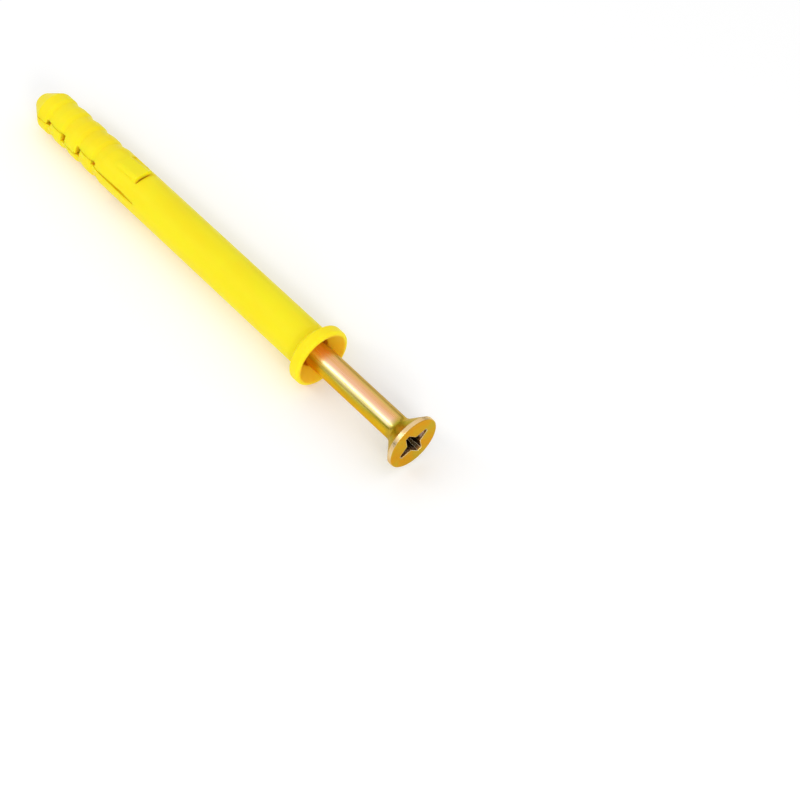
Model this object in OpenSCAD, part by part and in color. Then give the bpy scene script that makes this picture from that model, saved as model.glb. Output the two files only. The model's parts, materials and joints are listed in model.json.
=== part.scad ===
// Long expansion anchor: a moulded nylon sleeve with its countersunk screw pushed part of the way in.
// Both pieces are drawn on one axis, nose at zero, and then laid on their side as they come to rest.

/* [Screw] */
// Length of the screw from its head face to its point
screw_len = 105; // [90:1:125]
// Diameter of the plain shank
shank_d = 5.9; // [5.2:0.1:6.4]
// Diameter over the crests of the thread that is rolled on the hidden end
thread_d = 7; // [6.8:0.1:7.6]
// Diameter of the core under the thread
core_d = 4.7; // [4:0.1:5]
// Length of the threaded end, point included
thread_len = 62; // [45:1:70]
// Length of the tapered point
point_len = 6; // [4:0.5:8]
// Diameter of the countersunk head
head_d = 12.8; // [11.4:0.1:13.4]
// Full angle of the cone under the head
head_cone = 90; // [80:1:100]
// Height of the straight edge round the head
head_land = 1; // [0.5:0.1:1.6]
// Rounding of the head's edge
head_round = 0.35; // [0.1:0.05:0.45]
// Fillet where the cone runs into the shank
neck_fillet = 2.4; // [0.4:0.1:3]
// Distance across the tips of the cross recess
recess_span = 8; // [7:0.1:9]
// Width of the recess at each tip
recess_tip_w = 1; // [0.8:0.1:1.6]
// Distance of the recess's four inner corners from its centre lines
recess_core = 1.35; // [1:0.05:1.6]
// Depth over which the recess tapers
recess_depth = 3.8; // [3:0.1:4.2]
// Lean of the recess's tips towards the axis as they go down
recess_lean = 26.5; // [20:0.5:30]
// Further depth of the pyramid at the bottom of the recess
recess_floor_h = 0.9; // [0.4:0.1:1.2]
// Angle between the cross recess and the wings of the sleeve
recess_turn = 33; // [0:1:89]
// Distance that the head face stands out from the collar face
stand_out = 28.8; // [10:0.1:40]

/* [Sleeve] */
// Length of the sleeve from its nose to its collar face
sleeve_len = 100; // [92:1:120]
// Wall of the plain tube
tube_wall = 1.4; // [1.2:0.05:1.8]
// Gap at each side between the thread crests and the tube's bore
bore_gap = 0.1; // [0.05:0.05:0.3]
// Gap at each side between the screw's core and the narrow bore that it is driven into
grip_gap = 0.02; // [0.01:0.01:0.1]
// Length of the step from the narrow bore to the wide one
bore_step = 4; // [2:0.5:8]
// Diameter of the pilot bore that leads the screw's point on through the nose
pilot_d = 3.2; // [2:0.1:4]
// Thickness that the nose keeps in front of the pilot bore
nose_wall = 2; // [1:0.1:2.8]

/* [Collar] */
// Diameter of the collar's rim
rim_d = 14.4; // [13:0.1:16]
// Height of the collar from the neck groove to its face
collar_h = 4.4; // [3.8:0.1:6]
// Height of the sloping underside of the collar
flare_h = 1.5; // [1:0.1:2]
// Rounding of the rim's two edges
rim_round = 0.7; // [0.3:0.1:0.9]
// Depth of the groove under the collar
groove_depth = 0.35; // [0.1:0.05:0.5]
// Width of the sloping shoulder that runs down into the groove
groove_w = 1.1; // [0.6:0.1:2]
// Amount by which the seat's mouth is smaller than the screw's head, on the radius
seat_inset = 0.2; // [0:0.05:0.5]

/* [Expansion zone] */
// Radius of the blunt front of the nose
nose_r = 2.1; // [1.5:0.1:3]
// Length of the nose cone
nose_len = 4.4; // [3.5:0.1:6]
// Rounding at both ends of the nose cone
nose_round = 0.7; // [0.2:0.1:1]
// Number of toothed steps behind the nose
tooth_count = 4; // [2:1:5]
// Distance from the nose to the first step
first_step = 7; // [6:0.1:9]
// Distance from one step to the next
tooth_pitch = 5.6; // [4.8:0.1:6]
// Height of each step
tooth_h = 0.45; // [0.2:0.05:0.6]
// Length of the sloping face of each step
step_len = 0.9; // [0.4:0.1:1.4]
// Length of the ramp that rises again behind each step
ramp_len = 2.7; // [1.5:0.1:3.2]
// Amount by which the toothed part is slimmer than the tube, on the radius
tooth_relief = 0.08; // [0:0.01:0.2]
// Width of the fine split between the two halves
split_w = 0.2; // [0.15:0.05:0.5]
// Length of the square window at each jog of the split
window_len = 1.35; // [0.8:0.05:1.8]
// Length of the open slot behind the last window
slot_len = 15.5; // [12:0.5:18]
// Width of the open slot at its widest place
slot_w = 0.8; // [0.6:0.1:2.2]
// Distance from that widest place to the slot's end
slot_tail = 4.5; // [3:0.5:7]

/* [Wings] */
// Distance from the last step to the root of the wings
wing_start = 6.6; // [5:0.1:8]
// Length of each wing
wing_len = 7.4; // [6:0.1:9]
// Width of each wing
wing_w = 4.6; // [4:0.1:5.6]
// Thickness of each wing
wing_t = 1.1; // [0.8:0.05:1.3]
// Height of a wing's free end above the tube
wing_rise = 0.85; // [0.8:0.05:1.2]
// Width of the flat on a wing's back
wing_flat = 3; // [2.4:0.1:3.6]
// Fall from that flat to a wing's long edges
wing_fall = 0.6; // [0.3:0.05:0.8]
// Angle by which the wings are turned out of square with the split
wing_turn = 14; // [0:1:20]
// Depth of the pocket under a wing's root, from the tube's outside
pocket_depth = 1.95; // [1.7:0.05:2.1]
// Depth of the pocket under a wing's free end
pocket_end_depth = 0.9; // [0.8:0.05:1.2]
// Gap between a wing's free end and the tube
wing_gap = 0.5; // [0.3:0.05:0.8]
// Width of the web that holds one side of each wing
web_w = 1; // [0.6:0.1:1.6]

/* [Hidden] */
$fn = 72;
NYLON_YELLOW = [0.98, 0.82, 0.08];
ZINC_YELLOW = [0.78, 0.66, 0.30];
ARC_STEPS = 6;
OVERCUT = 1;
// Part of the lip's width that the rounding of its edge may take
LIP_SHARE = 0.75;

bore_r = thread_d / 2 + bore_gap;
tube_r = bore_r + tube_wall;
grip_r = core_d / 2 + grip_gap;
rim_r = rim_d / 2;
seat_r = head_d / 2 - seat_inset;
seat_slope = tan(head_cone / 2);
lip_round = min(rim_round, LIP_SHARE * (rim_r - seat_r));
groove_r = tube_r - groove_depth;

tooth_r = tube_r - tooth_relief;
root_r = tooth_r - tooth_h;
last_step = first_step + (tooth_count - 1) * tooth_pitch;
// Sideways place of each stretch of the split, the nose's first, up to five jogs
SPLIT_OFFSETS = [-0.25, 0.75, -1.2, 0.85, -0.9];
slot_start = last_step + step_len;
slot_end = slot_start + slot_len;

wing_root = last_step + wing_start;
wing_end = wing_root + wing_len;
wing_out_r = tube_r + wing_rise;
wing_tilt = atan(wing_rise / wing_len);
pocket_root_x = tube_r - pocket_depth;
pocket_end_x = tube_r - pocket_end_depth;

head_r = head_d / 2;
shank_r = shank_d / 2;
core_r = core_d / 2;
face_z = sleeve_len + stand_out;
point_z = face_z - screw_len;
cone_h = (head_r - shank_r) / seat_slope;
cone_z = face_z - head_land - cone_h;
thread_end_z = point_z + thread_len;
grip_end = max(slot_end - bore_step, wing_end + wing_gap, point_z + point_len);
pilot_r = pilot_d / 2;

nose_angle = atan2(tooth_r - nose_r, nose_len);
nose_tuck = nose_round * tan(nose_angle / 2);
nose_tuck_in = nose_round * tan((90 - nose_angle) / 2);

// A line under the part touches the rim and the first of these circles, each given as [place, radius]
rim_low_z = sleeve_len - collar_h + flare_h + rim_round;
REST_CIRCLES = concat(
    [[nose_len, tooth_r], [wing_end, wing_out_r]],
    [for (i = [0 : tooth_count - 1]) [first_step + i * tooth_pitch, tooth_r]]);
rest_tilt = atan(min([for (c = REST_CIRCLES) (rim_r - c[1]) / (rim_low_z - c[0])]));
axis_h = rim_r * cos(rest_tilt) - rim_low_z * sin(rest_tilt);
low_x = -(nose_r - nose_tuck_in) * sin(rest_tilt);
high_x = face_z * cos(rest_tilt) + (head_r - head_round) * sin(rest_tilt);

// Points of a round stretch from one angle to another, centre and radius given
function arc(cx, cy, r, a0, a1) =
    [for (i = [0 : ARC_STEPS]) let (a = a0 + (a1 - a0) * i / ARC_STEPS) [cx + r * cos(a), cy + r * sin(a)]];

// Outline of one tooth, from the foot of the step before it to the foot of its own step
function tooth_points(z) = [
    [root_r, z - tooth_pitch + step_len],
    [tooth_r, z - tooth_pitch + step_len + ramp_len],
    [tooth_r, z],
    [root_r, z + step_len]
];

// Outside of the sleeve, from the nose to the seat's edge
outer_points = concat(
    [[0, 0]],
    arc(nose_r - nose_tuck_in, nose_round, nose_round, -90, -nose_angle),
    arc(tooth_r - nose_round, nose_len + nose_tuck, nose_round, -nose_angle, 0),
    [[tooth_r, first_step], [root_r, first_step + step_len]],
    [for (i = [1 : tooth_count - 1], p = tooth_points(first_step + i * tooth_pitch)) p],
    [[tube_r, last_step + step_len + ramp_len],
     [tube_r, sleeve_len - collar_h - groove_w],
     [groove_r, sleeve_len - collar_h],
     [rim_r - rim_round, sleeve_len - collar_h + flare_h]],
    arc(rim_r - rim_round, rim_low_z, rim_round, -45, 0),
    arc(rim_r - lip_round, sleeve_len - lip_round, lip_round, 0, 90));

// Inside of the sleeve, from the seat's edge down to the wall at the nose
inner_points = [
    [seat_r, sleeve_len],
    [bore_r, sleeve_len - (seat_r - bore_r) / seat_slope],
    [bore_r, grip_end + bore_step],
    [grip_r, grip_end],
    [grip_r, point_z],
    [pilot_r, point_z - (grip_r - pilot_r)],
    [pilot_r, nose_wall],
    [0, nose_wall]
];

module lay_down() {
    translate([-(low_x + high_x) / 2, 0, axis_h])
        rotate([0, -rest_tilt, 0])
            rotate([180, 0, 0])
                rotate([0, 90, 0])
                    children();
}

// Draws a flat outline in the plane of X and Z and gives it a thickness from y0 to y1
module side_slab(y0, y1) {
    translate([0, y1, 0]) rotate([90, 0, 0]) linear_extrude(height = y1 - y0) children();
}

// One stretch of the fine split with the window at its far end
module split_stretch(i) {
    z0 = i == 0 ? -OVERCUT : first_step + step_len / 2 + (i - 1) * tooth_pitch;
    z1 = first_step + step_len / 2 + i * tooth_pitch;
    here = SPLIT_OFFSETS[i];
    next = i == tooth_count - 1 ? 0 : SPLIT_OFFSETS[i + 1];
    translate([here - split_w / 2, z0]) square([split_w, z1 - z0]);
    translate([min(here, next) - split_w / 2, z1])
        square([abs(next - here) + split_w, window_len]);
}

// The split runs in jogs from the nose and opens into a leaf-shaped slot that shows the screw
module split_outline() {
    for (i = [0 : tooth_count - 1]) split_stretch(i);
    slot_z = slot_start - step_len / 2 + window_len / 2;
    polygon([
        [-split_w / 2, slot_z],
        [split_w / 2, slot_z],
        [slot_w / 2, slot_end - slot_tail],
        [split_w / 2, slot_end],
        [-split_w / 2, slot_end],
        [-slot_w / 2, slot_end - slot_tail]
    ]);
}

// Solid wedge with a flat back, which leans outwards until it stands proud of the tube
module wing_plate() {
    intersection() {
        translate([tube_r, 0, wing_root]) rotate([0, wing_tilt, 0])
            translate([0, 0, -wing_t]) linear_extrude(height = wing_len + 2 * wing_t)
                polygon([
                    [-tube_wall, -wing_w / 2],
                    [-wing_fall, -wing_w / 2],
                    [0, -wing_flat / 2],
                    [0, wing_flat / 2],
                    [-wing_fall, wing_w / 2],
                    [-tube_wall, wing_w / 2]
                ]);
        translate([0, -tube_r, wing_root]) cube([wing_out_r + OVERCUT, 2 * tube_r, wing_len]);
    }
}

// Space under the wing, open at one side and at the wing's free end
module wing_pocket() {
    far_x = wing_out_r + OVERCUT;
    notch_z = wing_end + wing_gap;
    side_slab(-tube_r - OVERCUT, -wing_w / 2)
        polygon([
            [pocket_root_x, wing_root],
            [far_x, wing_root],
            [far_x, notch_z],
            [pocket_end_x, notch_z]
        ]);
    side_slab(-wing_w / 2 - OVERCUT, wing_w / 2 - web_w)
        polygon([
            [pocket_root_x, wing_root],
            [tube_r - wing_t, wing_root],
            [wing_out_r - wing_t, wing_end],
            [pocket_end_x, notch_z]
        ]);
    side_slab(-tube_r - OVERCUT, wing_w / 2)
        polygon([
            [pocket_end_x, wing_end],
            [far_x, wing_end],
            [far_x, notch_z],
            [pocket_end_x, notch_z]
        ]);
}

module both_sides() {
    children();
    rotate([0, 0, 180]) children();
}

module sleeve() {
    color(NYLON_YELLOW) lay_down() difference() {
        union() {
            rotate_extrude() polygon(concat(outer_points, inner_points));
            both_sides() wing_plate();
        }
        rotate([0, 0, -wing_turn])
            side_slab(-tube_r - OVERCUT, tube_r + OVERCUT) split_outline();
        both_sides() wing_pocket();
    }
}

// Star with four narrow tips and an inner corner between each two of them, scaled by a share
function star_points(share) = [
    for (a = [0 : 90 : 270])
        for (p = [[recess_span / 2, -recess_tip_w / 2],
                  [recess_span / 2, recess_tip_w / 2],
                  [recess_core, recess_core]])
            share * [p[0] * cos(a) - p[1] * sin(a), p[0] * sin(a) + p[1] * cos(a)]
];

// The star tapers as it goes down from above the face, and its floor is a shallow pyramid
module cross_recess() {
    taper = tan(recess_lean) / (recess_span / 2);
    top_share = 1 + OVERCUT * taper;
    foot_share = 1 - recess_depth * taper;
    translate([0, 0, face_z - recess_depth]) rotate([0, 0, recess_turn]) {
        translate([0, 0, recess_depth + OVERCUT]) mirror([0, 0, 1])
            linear_extrude(height = recess_depth + OVERCUT, scale = foot_share / top_share)
                polygon(star_points(top_share));
        mirror([0, 0, 1])
            linear_extrude(height = recess_floor_h, scale = 0) polygon(star_points(foot_share));
    }
}

module screw() {
    fillet_angle = 90 - head_cone / 2;
    fillet_back = neck_fillet * tan((90 - fillet_angle) / 2);
    color(ZINC_YELLOW) lay_down() difference() {
        rotate_extrude() polygon(concat(
            [[0, point_z],
             [core_r, point_z + point_len],
             [core_r, thread_end_z - (shank_r - core_r)],
             [shank_r, thread_end_z]],
            arc(shank_r + neck_fillet, cone_z - fillet_back, neck_fillet, 180, 90 + fillet_angle),
            [[head_r, face_z - head_land]],
            arc(head_r - head_round, face_z - head_round, head_round, 0, 90),
            [[0, face_z]]));
        cross_recess();
    }
}

sleeve();
screw();
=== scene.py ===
import bpy
import json
import math
from mathutils import Matrix, Vector


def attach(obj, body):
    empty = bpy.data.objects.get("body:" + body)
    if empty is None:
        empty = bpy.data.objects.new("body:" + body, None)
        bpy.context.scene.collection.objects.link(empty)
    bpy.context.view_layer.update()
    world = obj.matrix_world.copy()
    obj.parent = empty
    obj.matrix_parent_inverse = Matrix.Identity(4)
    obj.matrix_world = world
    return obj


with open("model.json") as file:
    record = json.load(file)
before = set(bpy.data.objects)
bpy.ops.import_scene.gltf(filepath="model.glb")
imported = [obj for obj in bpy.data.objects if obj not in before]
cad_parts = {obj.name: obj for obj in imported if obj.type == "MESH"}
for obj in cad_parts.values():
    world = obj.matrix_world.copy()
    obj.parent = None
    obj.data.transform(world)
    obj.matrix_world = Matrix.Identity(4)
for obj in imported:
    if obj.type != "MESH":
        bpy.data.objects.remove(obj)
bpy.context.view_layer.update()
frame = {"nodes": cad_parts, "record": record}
scene = bpy.context.scene


# Where the anchor lies
# It rests on its collar and on one wing, so its axis leans a little. The record's recess mount gives
# the middle of the screw's face and the way that the axis points.
MM = 0.001
mounts = {mount["name"]: mount for mount in frame["record"]["mounts"]}
face_centre = Vector(mounts["driver_recess"]["pos_m"])
axis = Vector(mounts["driver_recess"]["axis"]).normalized()
lean = math.atan2(axis.z, axis.x)


# Sleeve
# One moulding in yellow nylon: nose, split toothed zone, two wings, plain tube and flared collar. It
# is satin from the mould and lets a little light in. Its slits and its collar's seat are painted a
# deeper orange as shade.
nylon_clear = (1.0, 0.80, 0.012)
nylon_thick = (1.0, 0.76, 0.010)
# Painted shade colours, for slits and for the collar's seat
nylon_shade_in_slits = (1.0, 0.65, 0.018)
nylon_shade_in_seat = (1.0, 0.48, 0.012)
nylon_rough = (0.40, 0.52)
nylon_edge_r = 0.14 * MM
nylon_skin_depth = 0.03 * MM
nylon_skin_strength = 0.25
# The share of the light that enters the nylon, on its open skin and in slits, and how far it gets
nylon_light_share = (0.6, 1.0)
nylon_light_reach = 2.0 * MM
# Spots per metre of each noise, along the axis and round it
cloud_per_metre = (60, 160)
flow_per_metre = (250, 1400)
grain_per_metre = (5000, 5000)
# How far off a wall still shuts a place in, and the openness at which it counts as shut or as open
slit_reach = 3.0 * MM
slit_shut, slit_open = 0.10, 0.65
# The screw stands out of the collar, whose seat is a cone that opens by 45 degrees to its mouth
stand_out = 28.8 * MM
collar_end = -stand_out
seat_starts, seat_full = collar_end - 9 * MM, collar_end - 5 * MM
seat_mouth_r = 6.4 * MM
seat_outside, seat_inside = 0.2 * MM, -0.3 * MM
# How strongly painted shade colours the seat
seat_shade_share = 0.8


def new_material(name):
    """A node material with its tree and its shader."""
    material = bpy.data.materials.new(name)
    material.use_nodes = True
    tree = material.node_tree
    return material, tree, tree.nodes["Principled BSDF"]


def add_node(tree, kind, **settings):
    """A node of that kind, with its properties set by name."""
    node = tree.nodes.new(kind)
    for key, value in settings.items():
        setattr(node, key, value)
    return node


def feed(tree, socket, value):
    """Sets a number or a colour on a socket, or links another node's socket to it."""
    if isinstance(value, bpy.types.NodeSocket):
        tree.links.new(value, socket)
    elif isinstance(value, tuple):
        socket.default_value = (*value, 1)
    else:
        socket.default_value = value


def math_node(tree, operation, first, *others, clamp=False):
    """A sum on numbers or sockets, taken in turn."""
    for other in others or (0.0,):
        node = add_node(tree, "ShaderNodeMath", operation=operation, use_clamp=clamp)
        feed(tree, node.inputs[0], first)
        feed(tree, node.inputs[1], other)
        first = node.outputs[0]
    return first


def spread(tree, value, low, high, to_low=0.0, to_high=1.0, smooth=False):
    """The value mapped from one span to another and held there."""
    node = add_node(tree, "ShaderNodeMapRange", clamp=True)
    node.interpolation_type = "SMOOTHSTEP" if smooth else "LINEAR"
    node.inputs["From Min"].default_value = low
    node.inputs["From Max"].default_value = high
    node.inputs["To Min"].default_value = to_low
    node.inputs["To Max"].default_value = to_high
    tree.links.new(value, node.inputs["Value"])
    return node.outputs["Result"]


def ramp(tree, value, stops):
    """A colour ramp through (place, colour) stops."""
    node = add_node(tree, "ShaderNodeValToRGB")
    elements = node.color_ramp.elements
    elements[0].position, elements[1].position = stops[0][0], stops[-1][0]
    elements[0].color, elements[1].color = (*stops[0][1], 1), (*stops[-1][1], 1)
    for place, colour in stops[1:-1]:
        elements.new(place).color = (*colour, 1)
    tree.links.new(value, node.inputs["Fac"])
    return node.outputs["Color"]


def mix_colour(tree, factor, under, over):
    """One colour over another by a factor, each a socket or a plain colour."""
    node = add_node(tree, "ShaderNodeMix", data_type="RGBA")
    factor_socket, under_socket, over_socket = node.inputs[0], node.inputs[6], node.inputs[7]
    feed(tree, factor_socket, factor)
    feed(tree, under_socket, under)
    feed(tree, over_socket, over)
    return node.outputs[2]


def anchor_coordinates(tree):
    """Object coordinates turned so that X runs along the axis, with zero at the screw's face."""
    place = add_node(tree, "ShaderNodeTexCoord")
    turn = add_node(tree, "ShaderNodeMapping", vector_type="TEXTURE")
    turn.inputs["Location"].default_value = face_centre
    turn.inputs["Rotation"].default_value = (0, -lean, 0)
    tree.links.new(place.outputs["Object"], turn.inputs["Vector"])
    return turn.outputs["Vector"]


def split_up(tree, at):
    """The place along the axis, the two places across it, and the distance from it."""
    parts = add_node(tree, "ShaderNodeSeparateXYZ")
    tree.links.new(at, parts.inputs["Vector"])
    along, sideways, upwards = parts.outputs
    from_axis = math_node(tree, "SQRT", math_node(
        tree, "ADD",
        math_node(tree, "MULTIPLY", upwards, upwards),
        math_node(tree, "MULTIPLY", sideways, sideways)))
    return along, sideways, upwards, from_axis


def noise(tree, at, per_metre, detail=3.0, roughness=0.5):
    """Noise between 0 and 1, with so many spots per metre along the axis and round it."""
    spots_along, spots_round = per_metre
    scale = add_node(tree, "ShaderNodeMapping", vector_type="POINT")
    scale.inputs["Scale"].default_value = (spots_along, spots_round, spots_round)
    tree.links.new(at, scale.inputs["Vector"])
    node = add_node(tree, "ShaderNodeTexNoise")
    node.inputs["Scale"].default_value = 1.0
    node.inputs["Detail"].default_value = detail
    node.inputs["Roughness"].default_value = roughness
    tree.links.new(scale.outputs["Vector"], node.inputs["Vector"])
    return node.outputs["Fac"]


def roughened(tree, value, limits):
    """A roughness between two limits, from a noise, most of which lies between 0.3 and 0.7."""
    noise_low, noise_high = 0.3, 0.7
    return spread(tree, value, noise_low, noise_high, *limits)


def rounded_normal(tree, radius):
    """The surface's normal, with its edges rounded to that radius."""
    bevel = add_node(tree, "ShaderNodeBevel", samples=6)
    bevel.inputs["Radius"].default_value = radius
    return bevel.outputs["Normal"]


def softened(tree, radius, height, strength, depth):
    """The normal with its edges rounded, and a fine relief laid over it."""
    relief = add_node(tree, "ShaderNodeBump")
    relief.inputs["Strength"].default_value = strength
    relief.inputs["Distance"].default_value = depth
    tree.links.new(rounded_normal(tree, radius), relief.inputs["Normal"])
    tree.links.new(height, relief.inputs["Height"])
    return relief.outputs["Normal"]


nylon, tree, shader = new_material("yellow_nylon")
nylon_at = anchor_coordinates(tree)
along, _, _, from_axis = split_up(tree, nylon_at)
cloud = noise(tree, nylon_at, cloud_per_metre, detail=2.0)
nylon_open = ramp(tree, cloud, [(0.35, nylon_thick), (0.62, nylon_clear)])
# Painted shade: places that nearby walls shut in are coloured a deeper orange
hollow = add_node(tree, "ShaderNodeAmbientOcclusion", samples=8, only_local=False)
hollow.inputs["Distance"].default_value = slit_reach
sunk = spread(tree, hollow.outputs["AO"], slit_shut, slit_open, 1.0, 0.0)
near_collar = spread(tree, along, seat_starts, seat_full)
nylon_painted_shade = mix_colour(tree, near_collar, nylon_shade_in_slits, nylon_shade_in_seat)
# Painted shade in the collar's seat: inside the cone it is coloured deeper orange
seat_r = math_node(tree, "ADD", along, seat_mouth_r - collar_end)
past_seat = math_node(tree, "SUBTRACT", from_axis, seat_r)
seat_shade_mask = math_node(tree, "MULTIPLY", near_collar,
                    spread(tree, past_seat, seat_outside, seat_inside, 0.0, seat_shade_share))
painted_shade_mask = math_node(tree, "MAXIMUM", sunk, seat_shade_mask)
feed(tree, shader.inputs["Base Color"], mix_colour(tree, painted_shade_mask, nylon_open, nylon_painted_shade))
flow = noise(tree, nylon_at, flow_per_metre)
feed(tree, shader.inputs["Roughness"], roughened(tree, flow, nylon_rough))
shader.inputs["IOR"].default_value = 1.5
shader.inputs["Specular IOR Level"].default_value = 0.14
feed(tree, shader.inputs["Subsurface Weight"], spread(tree, sunk, 0.0, 1.0, *nylon_light_share))
shader.inputs["Subsurface Radius"].default_value = (1.0, 0.6, 0.05)
shader.inputs["Subsurface Scale"].default_value = nylon_light_reach
grain = noise(tree, nylon_at, grain_per_metre, detail=4.0, roughness=0.6)
skin = math_node(tree, "MULTIPLY", math_node(tree, "ADD", flow, grain), 0.5)
feed(tree, shader.inputs["Normal"],
     softened(tree, nylon_edge_r, skin, nylon_skin_strength, nylon_skin_depth))

sleeve = frame["nodes"]["sleeve"]
sleeve.material_slots[0].material = nylon


# Screw
# Steel wire, cold-headed to a countersunk head with a cross recess, plated with zinc and passivated
# yellow. The film runs through gold, green and pink in streaks, and its edges are rubbed pale.
# Reflection is partly painted into the film round the shank, and shade is painted into the recess.
head_edge = 1.0 * MM
head_r = 6.4 * MM
shank_r = 2.95 * MM
cone_end = head_edge + head_r - shank_r
neck_blend = 2 * MM
edge_fades, edge_full = head_edge + 0.12 * MM, head_edge - 0.05 * MM
face_fades, face_full = 0.16 * MM, 0.06 * MM
recess_mouth_r = 5.0 * MM
recess_lean = 0.75
recess_blend = 0.1 * MM
recess_fades, recess_full = 5.2 * MM, 5.0 * MM
recess_dark_by = 2.5 * MM
# The driver scrapes a band of the recess's walls, which starts, is full, is still full and ends here
scraped_radii = (2.0 * MM, 2.4 * MM, 3.2 * MM, 3.5 * MM)
scraped_depths = (0.25 * MM, 0.4 * MM, 0.9 * MM, 1.2 * MM)
scrape_starts, scrape_full = 0.42, 0.50
scraped_zinc = (0.96, 0.76, 0.66)
# An edge is rubbed where its rounded normal turns away from the plain one, given as a cosine
rubbed_r = 0.26 * MM
rub_starts, rub_full = 0.97, 0.82
rubbed_zinc = (0.96, 0.93, 0.70)
zinc_sheen = (1.0, 0.82, 0.5, 1)
zinc_rough = (0.24, 0.38)
zinc_edge_r = 0.2 * MM
zinc_line_depth = 0.02 * MM
zinc_line_strength = 0.35
wander_per_metre = (40, 300)
streak_per_metre = (70, 1900)
blotch_per_metre = (260, 260)
lines_per_metre = (120, 4200)
# The film's colour runs round the shank from side to side, wanders, and breaks up in streaks. The
# ramp is partly the film's own colour and partly painted reflection: paler where the soft box's
# highlight falls, darker where the dark horizon shows
band_turn = math.radians(33)
band_from_r = 0.1 * MM
film_and_reflection_by_side, film_by_wander, film_by_streak, film_start = 0.5, 0.2, 0.3, 0.25
film_and_reflection_on_shank = [
    (0.00, (0.76, 0.42, 0.010)),
    (0.10, (0.72, 0.46, 0.016)),
    (0.18, (0.58, 0.37, 0.02)),
    (0.25, (0.56, 0.50, 0.05)),
    (0.34, (0.74, 0.60, 0.16)),
    (0.45, (0.92, 0.78, 0.45)),
    (0.58, (0.90, 0.53, 0.35)),
    (0.78, (0.80, 0.43, 0.17)),
    (0.90, (0.68, 0.48, 0.12)),
    (1.00, (0.42, 0.24, 0.05)),
]
film_on_cone = [
    (0.38, (0.52, 0.35, 0.04)),
    (0.56, (0.40, 0.38, 0.025)),
    (0.70, (0.52, 0.43, 0.10)),
]
film_on_edge = [
    (0.35, (0.78, 0.52, 0.24)),
    (0.65, (0.80, 0.70, 0.44)),
]
film_on_face = [
    (0.35, (0.68, 0.32, 0.018)),
    (0.50, (0.64, 0.36, 0.022)),
    (0.65, (0.55, 0.39, 0.034)),
]
# Painted shade: the recess goes dark with depth
recess_painted_shade = [
    (0.03, (0.64, 0.38, 0.02)),
    (0.10, (0.20, 0.09, 0.03)),
    (0.36, (0.035, 0.022, 0.008)),
]


def between(tree, value, starts, full, still_full, ends):
    """1 where the value lies between two limits, and fading to 0 outside them."""
    return math_node(tree, "MULTIPLY", spread(tree, value, starts, full),
                     spread(tree, value, ends, still_full))


zinc, tree, shader = new_material("yellow_zinc")
zinc_at = anchor_coordinates(tree)
along, sideways, upwards, from_axis = split_up(tree, zinc_at)
depth = math_node(tree, "MULTIPLY", along, -1.0)

towards_band = math_node(
    tree, "ADD",
    math_node(tree, "MULTIPLY", upwards, math.sin(band_turn)),
    math_node(tree, "MULTIPLY", sideways, math.cos(band_turn)))
side = math_node(tree, "DIVIDE", towards_band,
                 math_node(tree, "MAXIMUM", from_axis, band_from_r))
wander = noise(tree, zinc_at, wander_per_metre)
streak = noise(tree, zinc_at, streak_per_metre, roughness=0.6)
film = math_node(
    tree, "ADD",
    math_node(tree, "MULTIPLY", side, film_and_reflection_by_side),
    math_node(tree, "MULTIPLY", wander, film_by_wander),
    math_node(tree, "MULTIPLY", streak, film_by_streak),
    film_start)
blotch = noise(tree, zinc_at, blotch_per_metre)

on_cone = spread(tree, depth, cone_end + neck_blend, cone_end, smooth=True)
on_edge = spread(tree, depth, edge_fades, edge_full)
on_face = spread(tree, depth, face_fades, face_full)
recess_r = math_node(tree, "SUBTRACT", recess_mouth_r,
                     math_node(tree, "MULTIPLY", depth, recess_lean))
in_recess = math_node(
    tree, "MULTIPLY",
    spread(tree, math_node(tree, "SUBTRACT", recess_r, from_axis), -recess_blend, recess_blend),
    spread(tree, depth, recess_fades, recess_full))
scraped = math_node(
    tree, "MULTIPLY",
    between(tree, from_axis, *scraped_radii),
    between(tree, depth, *scraped_depths),
    spread(tree, wander, scrape_starts, scrape_full))
# Painted shade in the recess, darker with depth
recess_shade = ramp(tree, spread(tree, depth, 0.0, recess_dark_by), recess_painted_shade)

plain = add_node(tree, "ShaderNodeNewGeometry")
alike = add_node(tree, "ShaderNodeVectorMath", operation="DOT_PRODUCT")
tree.links.new(rounded_normal(tree, rubbed_r), alike.inputs[0])
tree.links.new(plain.outputs["True Normal"], alike.inputs[1])
rubbed = spread(tree, alike.outputs["Value"], rub_starts, rub_full)

# Film colour with painted reflection round the shank
colour = ramp(tree, film, film_and_reflection_on_shank)
colour = mix_colour(tree, on_cone, colour, ramp(tree, blotch, film_on_cone))
colour = mix_colour(tree, on_edge, colour, ramp(tree, blotch, film_on_edge))
colour = mix_colour(tree, in_recess, colour, mix_colour(tree, scraped, recess_shade, scraped_zinc))
colour = mix_colour(tree, on_face, colour, ramp(tree, blotch, film_on_face))
colour = mix_colour(tree, rubbed, colour, rubbed_zinc)
feed(tree, shader.inputs["Base Color"], colour)
shader.inputs["Metallic"].default_value = 1.0
shader.inputs["Specular Tint"].default_value = zinc_sheen
drawn = noise(tree, zinc_at, lines_per_metre, detail=5.0, roughness=0.65)
feed(tree, shader.inputs["Roughness"], roughened(tree, drawn, zinc_rough))
feed(tree, shader.inputs["Normal"],
     softened(tree, zinc_edge_r, drawn, zinc_line_strength, zinc_line_depth))

screw = frame["nodes"]["screw"]
screw.material_slots[0].material = zinc


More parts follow.
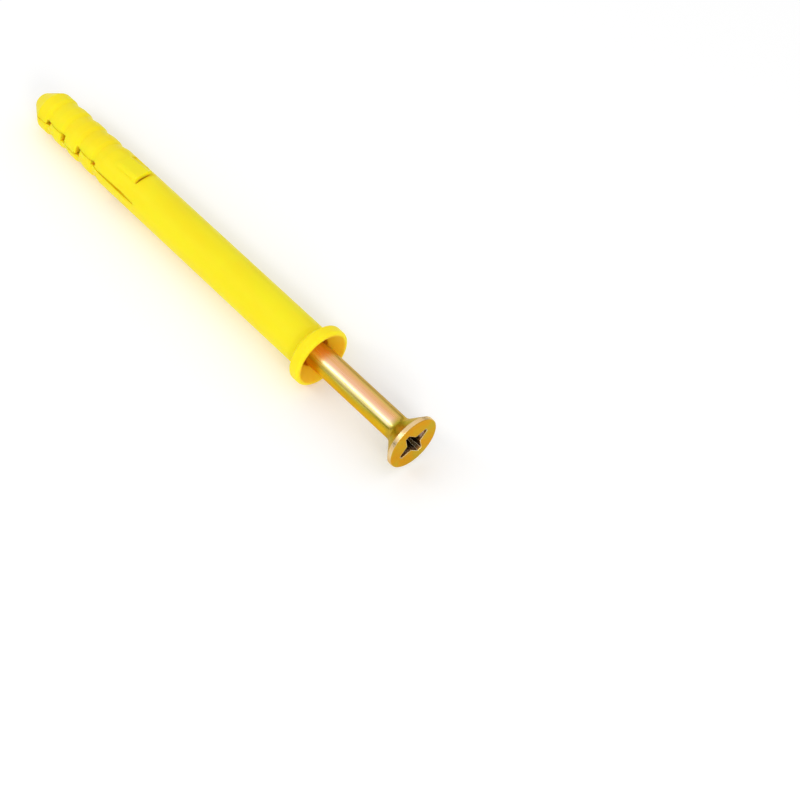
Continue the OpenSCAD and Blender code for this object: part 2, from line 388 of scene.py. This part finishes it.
# Thread
# A coarse single thread rolled on the screw's lower end, right-handed. It fades out at the point and
# below the plain shank, and lies over the core inside the sleeve, where the slot shows it.
screw_len = 105 * MM
thread_len = 62 * MM
thread_stops_short = 0.6 * MM
thread_fade = 4 * MM
thread_pitch = 3.2 * MM
thread_steps = 900
core_r = 2.35 * MM
crest_r = 3.5 * MM
root_w = 1.35 * MM
crest_w = 0.28 * MM
sunk_in_core = 0.15 * MM
point_len = 6 * MM
rise_after_point = 1.4
least_ridge = 0.02
sharp_from = math.radians(30)


def thread_tree():
    """A ridge swept along a helix whose radius follows the core and its point."""
    tree = bpy.data.node_groups.new("rolled_thread", "GeometryNodeTree")
    number, whole, finish = "NodeSocketFloat", "NodeSocketInt", "NodeSocketMaterial"
    inputs = {
        "Length": number, "Pitch": number, "Core Radius": number, "Height": number,
        "Root Width": number, "Crest Width": number, "Point Length": number,
        "Fade Length": number, "Sink": number, "Steps": whole, "Material": finish,
    }
    for name, kind in inputs.items():
        tree.interface.new_socket(name, in_out="INPUT", socket_type=kind)
    tree.interface.new_socket("Geometry", in_out="OUTPUT", socket_type="NodeSocketGeometry")
    given = tree.nodes.new("NodeGroupInput").outputs
    link = tree.links.new

    def calc(operation, *values, clamp=False):
        return math_node(tree, operation, *values, clamp=clamp)

    def point(x, y, z):
        node = tree.nodes.new("ShaderNodeCombineXYZ")
        for socket, value in zip(node.inputs, (x, y, z)):
            feed(tree, socket, value)
        return node.outputs[0]

    line = tree.nodes.new("GeometryNodeCurvePrimitiveLine")
    steps = tree.nodes.new("GeometryNodeResampleCurve")
    link(line.outputs["Curve"], steps.inputs["Curve"])
    link(given["Steps"], steps.inputs["Count"])
    share = tree.nodes.new("GeometryNodeSplineParameter").outputs["Factor"]
    height_at = calc("MULTIPLY", share, given["Length"])
    angle = calc("MULTIPLY", calc("DIVIDE", height_at, given["Pitch"]), 2 * math.pi)
    taper = calc("DIVIDE", height_at, given["Point Length"], clamp=True)
    helix_r = calc("MULTIPLY", taper, given["Core Radius"])
    helix = tree.nodes.new("GeometryNodeSetPosition")
    link(steps.outputs["Curve"], helix.inputs["Geometry"])
    link(point(calc("MULTIPLY", calc("COSINE", angle), helix_r),
               calc("MULTIPLY", calc("SINE", angle), helix_r), height_at), helix.inputs["Position"])
    stand = add_node(tree, "GeometryNodeSetCurveNormal", mode="Z_UP")
    link(helix.outputs["Geometry"], stand.inputs["Curve"])
    to_end = calc("SUBTRACT", given["Length"], height_at)
    fade = calc("DIVIDE", to_end, given["Fade Length"], clamp=True)
    rise_len = calc("MULTIPLY", given["Point Length"], rise_after_point)
    rise = calc("DIVIDE", height_at, rise_len, clamp=True)
    size = tree.nodes.new("GeometryNodeSetCurveRadius")
    link(stand.outputs["Curve"], size.inputs["Curve"])
    link(calc("MAXIMUM", calc("MULTIPLY", fade, rise), least_ridge), size.inputs["Radius"])

    profile = add_node(tree, "GeometryNodeCurvePrimitiveQuadrilateral", mode="POINTS")
    inner = calc("MULTIPLY", given["Sink"], -1.0)
    root = calc("MULTIPLY", given["Root Width"], 0.5)
    crest = calc("MULTIPLY", given["Crest Width"], 0.5)
    link(point(inner, calc("MULTIPLY", root, -1.0), 0), profile.inputs["Point 1"])
    link(point(given["Height"], calc("MULTIPLY", crest, -1.0), 0), profile.inputs["Point 2"])
    link(point(given["Height"], crest, 0), profile.inputs["Point 3"])
    link(point(inner, root, 0), profile.inputs["Point 4"])
    sweep = tree.nodes.new("GeometryNodeCurveToMesh")
    link(size.outputs["Curve"], sweep.inputs["Curve"])
    link(profile.outputs["Curve"], sweep.inputs["Profile Curve"])
    sweep.inputs["Fill Caps"].default_value = True
    real = tree.nodes.new("GeometryNodeRealizeInstances")
    link(sweep.outputs["Mesh"], real.inputs["Geometry"])
    coat = tree.nodes.new("GeometryNodeSetMaterial")
    link(real.outputs["Geometry"], coat.inputs["Geometry"])
    link(given["Material"], coat.inputs["Material"])
    link(coat.outputs["Geometry"], tree.nodes.new("NodeGroupOutput").inputs["Geometry"])
    return tree


def built_by(name, tree, values):
    """Runs a node tree on an empty mesh with those named inputs, and gives a plain object."""
    holder = bpy.data.objects.new(name + "_holder", bpy.data.meshes.new(name + "_holder"))
    scene.collection.objects.link(holder)
    modifier = holder.modifiers.new("build", "NODES")
    modifier.node_group = tree
    sockets = {s.name: s.identifier for s in tree.interface.items_tree if s.in_out == "INPUT"}
    for label, value in values.items():
        modifier[sockets[label]] = value
    evaluated = holder.evaluated_get(bpy.context.evaluated_depsgraph_get())
    mesh = bpy.data.meshes.new_from_object(evaluated)
    holder.modifiers.remove(modifier)
    bpy.data.objects.remove(holder)
    mesh.name = name
    piece = bpy.data.objects.new(name, mesh)
    scene.collection.objects.link(piece)
    return piece


thread = built_by("screw_thread", thread_tree(), {
    "Length": thread_len - thread_stops_short,
    "Pitch": thread_pitch,
    "Core Radius": core_r,
    "Height": crest_r - core_r,
    "Root Width": root_w,
    "Crest Width": crest_w,
    "Point Length": point_len,
    "Fade Length": thread_fade,
    "Sink": sunk_in_core,
    "Steps": thread_steps,
    "Material": zinc,
})
across = Vector((0, -1, 0))
upward = across.cross(axis).normalized()
along_axis = Matrix((upward, axis.cross(upward), axis)).transposed().to_4x4()
point_at = face_centre - axis * screw_len
thread.data.transform(Matrix.Translation(point_at) @ along_axis)
thread.data.set_sharp_from_angle(angle=sharp_from)
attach(thread, "root")


# Floor
# A plain white sheet, which the anchor lies on. The camera and the metal see it a little lighter
# than it lights the anchor, so that it stays white in the picture.
floor_size = 3.0
floor_white = (0.96, 0.96, 0.96, 1)
floor_lift = 0.10


def looked_at(tree):
    """1 for what the camera, gloss and glass see, and 0 for the light on the anchor."""
    rays = add_node(tree, "ShaderNodeLightPath")
    return math_node(tree, "MAXIMUM", rays.outputs["Is Glossy Ray"],
                     rays.outputs["Is Transmission Ray"], rays.outputs["Is Camera Ray"])


bpy.ops.mesh.primitive_plane_add(size=floor_size)
floor = bpy.context.object
floor.name = "floor"
paper, tree, shader = new_material("white_floor")
shader.inputs["Base Color"].default_value = floor_white
shader.inputs["Roughness"].default_value = 0.9
shader.inputs["Specular IOR Level"].default_value = 0.0
shader.inputs["Emission Color"].default_value = (1.0, 1.0, 1.0, 1)
feed(tree, shader.inputs["Emission Strength"], spread(tree, looked_at(tree), 0, 1, 0.0, floor_lift))
floor.data.materials.append(paper)


# Grey card
# A low ring of grey card stands round the table, so that bright metal shows a dark edge. It is there
# for gloss alone: the camera doesn't see it, and it takes no light from the floor or the anchor.
card_r = 1.3
card_foot, card_top = 0.002, 0.3
card_sides = 48
card_grey = (0.16, 0.15, 0.14, 1)
ring = []
for i in range(card_sides):
    turned = 2 * math.pi * i / card_sides
    ring.append((card_r * math.cos(turned), card_r * math.sin(turned)))
panels = []
for i in range(card_sides):
    next_i = (i + 1) % card_sides
    panels.append((i, next_i, card_sides + next_i, card_sides + i))
card_mesh = bpy.data.meshes.new("grey_card")
card_mesh.from_pydata([(x, y, z) for z in (card_foot, card_top) for x, y in ring], [], panels)
card = bpy.data.objects.new("grey_card", card_mesh)
scene.collection.objects.link(card)
grey, tree, shader = new_material("grey_card")
shader.inputs["Base Color"].default_value = card_grey
shader.inputs["Roughness"].default_value = 0.9
card.data.materials.append(grey)
card.visible_camera = False
card.visible_diffuse = False
card.visible_shadow = False


# Light
# An even white tent, with one long soft box above the nose on the near side and a round fill lamp in
# front of the head. The camera and the metal see the tent as plain white.
tent_level = 0.80
tent_seen = 1.0
box_size = (0.13, 0.8)
box_level = 3.2
box_direction = (-0.429, -0.633, 0.644)
box_distance = 0.85
fill_size = (0.4, 0.4)
fill_level = 5.0
fill_direction = (0.8, -0.4, 0.45)
fill_distance = 0.9

world = bpy.data.worlds.new("tent")
scene.world = world
world.use_nodes = True
tree = world.node_tree
sky = tree.nodes["Background"]
sky.inputs["Color"].default_value = (1.0, 1.0, 1.0, 1)
feed(tree, sky.inputs["Strength"], spread(tree, looked_at(tree), 0, 1, tent_level, tent_seen))


def soft_lamp(name, shape, size, level, direction, distance):
    """A flat lamp that faces the anchor's head, with its brightness per area given."""
    data = bpy.data.lights.new(name, "AREA")
    data.shape = shape
    data.size, data.size_y = size
    area = size[0] * size[1] * (math.pi / 4 if shape == "ELLIPSE" else 1.0)
    data.energy = level * math.pi * area
    lamp = bpy.data.objects.new(name, data)
    scene.collection.objects.link(lamp)
    facing = Vector(direction).normalized()
    lamp_across = facing.cross(axis).normalized()
    lamp_along = facing.cross(lamp_across)
    turn = Matrix((lamp_across, lamp_along, facing)).transposed().to_4x4()
    lamp.matrix_world = Matrix.Translation(face_centre + facing * distance) @ turn


soft_lamp("soft_box", "RECTANGLE", box_size, box_level, box_direction, box_distance)
soft_lamp("fill_lamp", "ELLIPSE", fill_size, fill_level, fill_direction, fill_distance)


# Camera
# It looks down on the anchor from the head's end, as the photograph does. Its place follows from
# where the nose shows, how the axis runs across the picture, and how far the head leans towards it.
photo_px = 800
focal_px = 2071.6
film_width = 36
nose_px = (43.5, 100.8)
nose_distance = 482 * MM
run_angle = math.radians(-42.51)
lean_to_camera = math.radians(25.4)
wing_roll = math.radians(33)
sleeve_len = 100 * MM
nose_tip = face_centre - axis * (sleeve_len + stand_out)

run = Vector((math.cos(run_angle), math.sin(run_angle), 0))
seen_axis = run * math.cos(lean_to_camera) + Vector((0, 0, math.sin(lean_to_camera)))
seen_side = Vector((-run.y, run.x, 0))
seen_front = seen_axis.cross(seen_side)
front = upward * math.cos(wing_roll) + across * math.sin(wing_roll)
to_side = upward * math.sin(wing_roll) - across * math.cos(wing_roll)
seen = Matrix((seen_axis, seen_side, seen_front)).transposed()
real = Matrix((axis, to_side, front)).transposed()
turn = real @ seen.transposed()
nose_seen = nose_distance * Vector(
    ((nose_px[0] - photo_px / 2) / focal_px, (photo_px / 2 - nose_px[1]) / focal_px, -1))
camera_data = bpy.data.cameras.new("camera")
camera_data.sensor_width = film_width
camera_data.lens = focal_px / photo_px * film_width
camera_data.clip_start = 10 * MM
camera = bpy.data.objects.new("camera", camera_data)
scene.collection.objects.link(camera)
camera.matrix_world = Matrix.Translation(nose_tip - turn @ nose_seen) @ turn.to_4x4()
scene.camera = camera
scene.view_settings.view_transform = "Standard"
